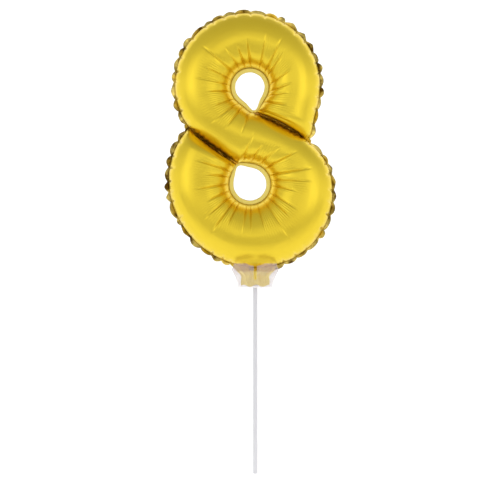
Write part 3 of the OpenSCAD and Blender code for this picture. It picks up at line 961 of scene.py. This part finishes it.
middle_fine = DIAGONAL_MIDDLE * ALONG
upper_rim = eye_rim("upper_eye_flange", front[:middle_fine + 1, 0], -1, UPPER_TIP_ANGLE,
                    (EYE_LEAN, EYE_RISE))
lower_rim = eye_rim("lower_eye_flange", front[middle_fine:, -1], 1, LOWER_TIP_ANGLE, (0, 0))
print("eye flanges:", len(upper_rim.data.polygons), len(lower_rim.data.polygons), "faces")

# %% [markdown]
# ## Thin shells
# Film has a thickness, so each ply is a closed shell: its outer grid, an inner grid a little
# below it, and a narrow wall all round between the two.

# %% Film shells
FILM_THICKNESS = 0.08


def shell(name, rows, side, thickness, material):
    """A closed thin shell from a grid in millimetres. Side turns its outside the right way."""
    inner = rows - normals_of(rows, side) * thickness
    index = np.arange(rows.shape[0] * rows.shape[1]).reshape(rows.shape[:2])
    below = index + index.size
    loop = np.concatenate([index[:-1, 0], index[-1, :-1], index[:0:-1, -1], index[0, :0:-1]])
    ahead = np.roll(loop, -1)
    wall = np.stack([loop, ahead, ahead + index.size, loop + index.size], 1)
    faces = np.concatenate([quads(index), quads(below)[:, ::-1], wall])
    if side < 0:
        faces = faces[:, ::-1]
    points = placed(np.concatenate([rows.reshape(-1, 3), inner.reshape(-1, 3)]))
    made = mesh_object(name, points, faces)
    made.data.materials.append(material)
    made.data.polygons.foreach_set("use_smooth", [True] * len(faces))
    return made


front_foil = shell("front_foil", front, 1, FILM_THICKNESS, gold_film)
rear_foil = shell("rear_foil", rear, -1, FILM_THICKNESS, gold_film)
print("film faces:", len(front_foil.data.polygons), "on each ply")

# %% [markdown]
# ## The crossing welds
# Where the stroke meets itself, both plies of both sides end in one narrow weld at the bottom of
# a deep valley. It is short of room, so it gathers into small lumps.

# %% Crossing welds
def crossing(name, one_edge, other_edge, side, lump):
    """A weld between two edges, with small lumps along it and one of its own height at the eye's tip."""
    share = np.linspace(0, 1, 5)
    rows = between(one_edge, other_edge, share)
    spot = np.arange(len(rows)) / ALONG
    lumps = 0.45 * np.sin(2 * math.pi * spot / 3.1 + draw.uniform(0, 6))
    lumps = lumps + 0.25 * np.sin(2 * math.pi * spot / 1.7)
    lumps = lumps * ease(np.minimum(spot, spot[-1] - spot) / 2)
    rows[..., 1] += np.outer(lumps, np.sin(math.pi * share))
    from_tip = spot if side > 0 else spot[-1] - spot
    tip_lump = lump * np.exp(-(((from_tip - 1.6) / 1.5) ** 2))
    rows[..., 1] -= np.outer(tip_lump, np.sin(math.pi * share) ** 0.6)
    rows[..., 1] -= side * 0.1
    return shell(name, rows, side, 0.2, gold_seam)


def along_columns(grid_row):
    """One end section of the film, as fine as the diagonal's edge that it is welded to."""
    return finer(grid_row[::ACROSS], ALONG, 0)


upper_cross = crossing("upper_crossing_weld", along_columns(front[0]),
                       front[middle_fine:lower_start + 1, 0], 1, 2.6)
lower_cross = crossing("lower_crossing_weld", front[UPPER_COUNT * ALONG:middle_fine + 1, -1],
                       along_columns(front[-1]), -1, 1.0)
print("crossing welds:", len(upper_cross.data.polygons), "faces each")

# %% [markdown]
# ## The tail
# Below the lowest seam the two plies run on as a short tail. It is gathered into the cup, so it
# is pleated lengthwise and fans out towards the balloon. The rear ply stays clear of the cup's
# little post. Each ply bends between the neck and the balloon when the balloon nods.

# %% Tail plies
TAIL_ROWS, TAIL_COLUMNS = 44, 120
neck_low, neck_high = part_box("neck_front_ply")
tail_foot = neck_low.z / MM
tail_fold = neck_high.z / MM
seam_line = outer_path[np.argsort(outer_path[:, 0])]
seam_line = seam_line[seam_line[:, 2] < LOWEST_PART]


def seam_height(x):
    """Height of the lowest seam above each place, in millimetres in the frame."""
    place = np.asarray(x) - figure_origin[0] / MM
    return np.interp(place, seam_line[:, 0], seam_line[:, 2]) + figure_origin[2] / MM


def tail_ply(name, side):
    """One ply. Up runs from its foot to the lowest seam, and s from its left edge to its right."""
    up = np.linspace(0, 1, TAIL_ROWS)[:, None]
    s = np.linspace(-1, 1, TAIL_COLUMNS)[None, :]
    fan = ease((up - 0.40) / 0.60)
    half_width = 12.4 + 8.4 * fan + 0.3 * np.sin(9 * up)
    x = s * half_width
    top = seam_height(x) + 0.3
    z = tail_foot + (top - tail_foot) * up + 0.9 * np.sin(7 * s + 1.0) * (1 - up) ** 2
    phase = 2 * math.pi * s
    pleats = 0.55 + 0.28 * np.sin(1.5 * phase + 0.7) + 0.18 * np.sin(2.6 * phase + 2.1 * up + side)
    pleats = pleats + 0.05 * np.sin(5.7 * phase - 1.3 + 2.5 * up)
    room = 3.0 if side < 0 else 2.2
    swell_out = np.sin(math.pi * np.clip(up * 0.96 + 0.02, 0, 1)) ** 0.8 * (1 - s**4)
    bulge = room * pleats * swell_out
    if side > 0:
        by_post = np.exp(-((x / 4.2) ** 4)) * (1 - ease((z - tail_fold + 3.0) / 3.0))
        bulge = bulge * (1 - by_post)
    y = side * (0.45 + bulge)
    rows = np.stack([np.broadcast_to(x, z.shape), y, z], -1) - figure_origin / MM
    return shell(name, rows, -side, 0.1, gold_tail)


tail_front = tail_ply("tail_front_foil", -1)
tail_rear = tail_ply("tail_rear_foil", 1)
print("tail, mm:", round(tail_fold - tail_foot, 1), "from its foot to its fold")

# %% [markdown]
# ## The valve
# Two narrow plies of clear film lie inside the tail and the balloon. Air pushes them apart on
# its way in and presses them shut afterwards. They are thin strips with a slight ripple.

# %% Valve plies
def valve_ply(name, node):
    low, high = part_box(node)
    s = np.linspace(0, 1, 13)[None, :]
    up = np.linspace(0, 1, 40)[:, None]
    x = low.x + (high.x - low.x) * s + 0 * up
    z = low.z + (high.z - low.z) * up + 0 * s
    ripple = 0.06 * MM * np.sin(11 * up + 3 * s) * ease(up * 4)
    y = (low.y + high.y) / 2 + ripple
    rows = (np.stack([x, y, z], -1) - figure_origin) / MM
    return shell(name, rows, -1, 0.05, valve_film)


valve_front = valve_ply("valve_front_film", "valve_front_ply")
valve_rear = valve_ply("valve_rear_film", "valve_rear_ply")
print("valve plies made")

# %% [markdown]
# ## The cup
# The cup is moulded, so its edges are slightly round and catch the light. A copy of the packed
# cup is merged into one skin, and a small bevel rounds every sharp edge.

# %% Cup with rounded edges
CUP_EDGE = 0.22 * MM


def moulded_cup():
    skin = bmesh.new()
    skin.from_mesh(frame["nodes"]["cup"].data)
    bmesh.ops.remove_doubles(skin, verts=skin.verts, dist=1e-6)
    bmesh.ops.dissolve_limit(skin, angle_limit=math.radians(1.0), verts=skin.verts, edges=skin.edges)
    mesh = bpy.data.meshes.new("clear_cup")
    skin.to_mesh(mesh)
    skin.free()
    piece = linked("clear_cup", mesh)
    bevel = piece.modifiers.new("edges", "BEVEL")
    bevel.width = CUP_EDGE
    bevel.segments = 2
    bevel.limit_method = "ANGLE"
    bevel.angle_limit = math.radians(38)
    made_plain(piece)
    piece.data.materials.clear()
    piece.data.materials.append(cup_plastic)
    piece.data.polygons.foreach_set("use_smooth", [True] * len(piece.data.polygons))
    piece.data.set_sharp_from_angle(angle=math.radians(40))
    return piece


cup = moulded_cup()
print("cup faces:", len(cup.data.polygons))

# %% [markdown]
# ## Putting it together
# Each piece rides on the body it belongs to and stands for the imported parts it replaces. The
# tail plies cross the fold between neck and balloon, so they bend between the two.

# %% Bodies and replaced parts
def fitted(piece, body, slot, *nodes):
    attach(piece, body)
    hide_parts(*nodes)


fitted(front_foil, "balloon", "gold_film", "front_film")
fitted(rear_foil, "balloon", "gold_film", "rear_film")
fitted(rim, "balloon", "gold_weld", "rim_seal")
fitted(upper_rim, "balloon", "gold_weld", "upper_eye_seal")
fitted(lower_rim, "balloon", "gold_weld", "lower_eye_seal")
fitted(upper_cross, "balloon", "gold_weld", "upper_crossing_seal")
fitted(lower_cross, "balloon", "gold_weld", "lower_crossing_seal")
fitted(valve_rear, "balloon", "valve_film", "valve_rear_ply")
fitted(valve_front, "valve_flap", "valve_film", "valve_front_ply")
fitted(cup, "cup", "clear_cup", "cup")

nod = next(joint for joint in frame["joints"] if joint["name"] == "balloon_nod")
hinge_z = nod["pos_m"][2]
for ply, node in ((tail_front, "neck_front_ply"), (tail_rear, "neck_rear_ply")):
    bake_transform(ply, "neck", "balloon", start=(0, 0, hinge_z - 3 * MM), end=(0, 0, hinge_z + 2.5 * MM))
    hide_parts(node)

stick = frame["nodes"]["stick"]
stick.data.materials.clear()
stick.data.materials.append(stick_plastic)

# %% [markdown]
# ## Floor and light
# A pale sweep is floor and backdrop in one, so no line shows where they meet. It glows a little,
# except far in front, and it hides the balloon from a camera behind it. Two soft boxes stand in
# front, and the right one is a little larger and stronger. The sky is darker overhead and below,
# which keeps the tops and undersides of the loops from washing out.

# %% Sweep
GLOW_START, GLOW_FULL, GLOW = -0.33, -0.21, 0.36
PAPER = {"Roughness": 0.9, "Base Color": (0.93, 0.93, 0.93, 1), "Emission Strength": 1.0}


def sweep():
    depth, radius, height, half = 0.55, 0.5, 2.4, 2.6
    bend = np.linspace(0, math.pi / 2, 24)
    curve = [(depth + radius * math.sin(b), radius * (1 - math.cos(b))) for b in bend]
    profile = [(-half, 0.0), *curve, (depth + radius, height)]
    points = [(x, y, z) for y, z in profile for x in (-half, half)]
    faces = [(2 * i, 2 * i + 1, 2 * i + 3, 2 * i + 2) for i in range(len(profile) - 1)]
    made = mesh_object("sweep", points, faces)
    made.data.polygons.foreach_set("use_smooth", [True] * len(faces))
    finish = Finish("sweep_paper", PAPER)
    back = finish.node("ShaderNodeSeparateXYZ", {}, {0: finish.place()}, out="Y")
    glow = finish.node("ShaderNodeMapRange", {}, {0: back, 1: GLOW_START, 2: GLOW_FULL, 3: 0.0, 4: GLOW})
    finish.drive("Emission Color", finish.colour_mix(glow, (0, 0, 0, 1), (1, 1, 1, 1)))
    made.data.materials.append(finish.material)


sweep()
print("sweep laid")

# %% Sky and soft boxes
SKY_LEVELS = [(0.0, 0.50), (0.46, 1.04), (0.54, 1.04), (0.62, 0.88), (0.75, 0.66), (0.95, 0.54)]
AIM = (0, 0, 0.27)


def soft_box(name, place, width, height, energy):
    data = bpy.data.lights.new(name, "AREA")
    data.shape, data.size, data.size_y, data.energy = "RECTANGLE", width, height, energy
    made = linked(name, data)
    made.location = place
    made.rotation_euler = (Vector(AIM) - Vector(place)).to_track_quat("-Z", "Y").to_euler()


def sky():
    world = bpy.data.worlds.new("studio")
    world.use_nodes = True
    maker = Maker(world.node_tree)
    up = maker.height_of(maker.node("ShaderNodeTexCoord", {}, {}, out="Generated"))
    level = maker.node("ShaderNodeValToRGB", {"stops": SKY_LEVELS}, {"Fac": up * 0.5 + 0.5})
    background = world.node_tree.nodes["Background"]
    maker.feed(background.inputs["Color"], level)
    background.inputs["Strength"].default_value = 1.0
    bpy.context.scene.world = world


sky()
soft_box("left_box", (-1.25, -1.2, 0.55), 0.8, 1.1, 1.1)
soft_box("right_box", (1.05, -1.3, 0.35), 0.9, 1.3, 1.4)
bpy.context.scene.view_settings.view_transform = "Standard"
print("stage lit")
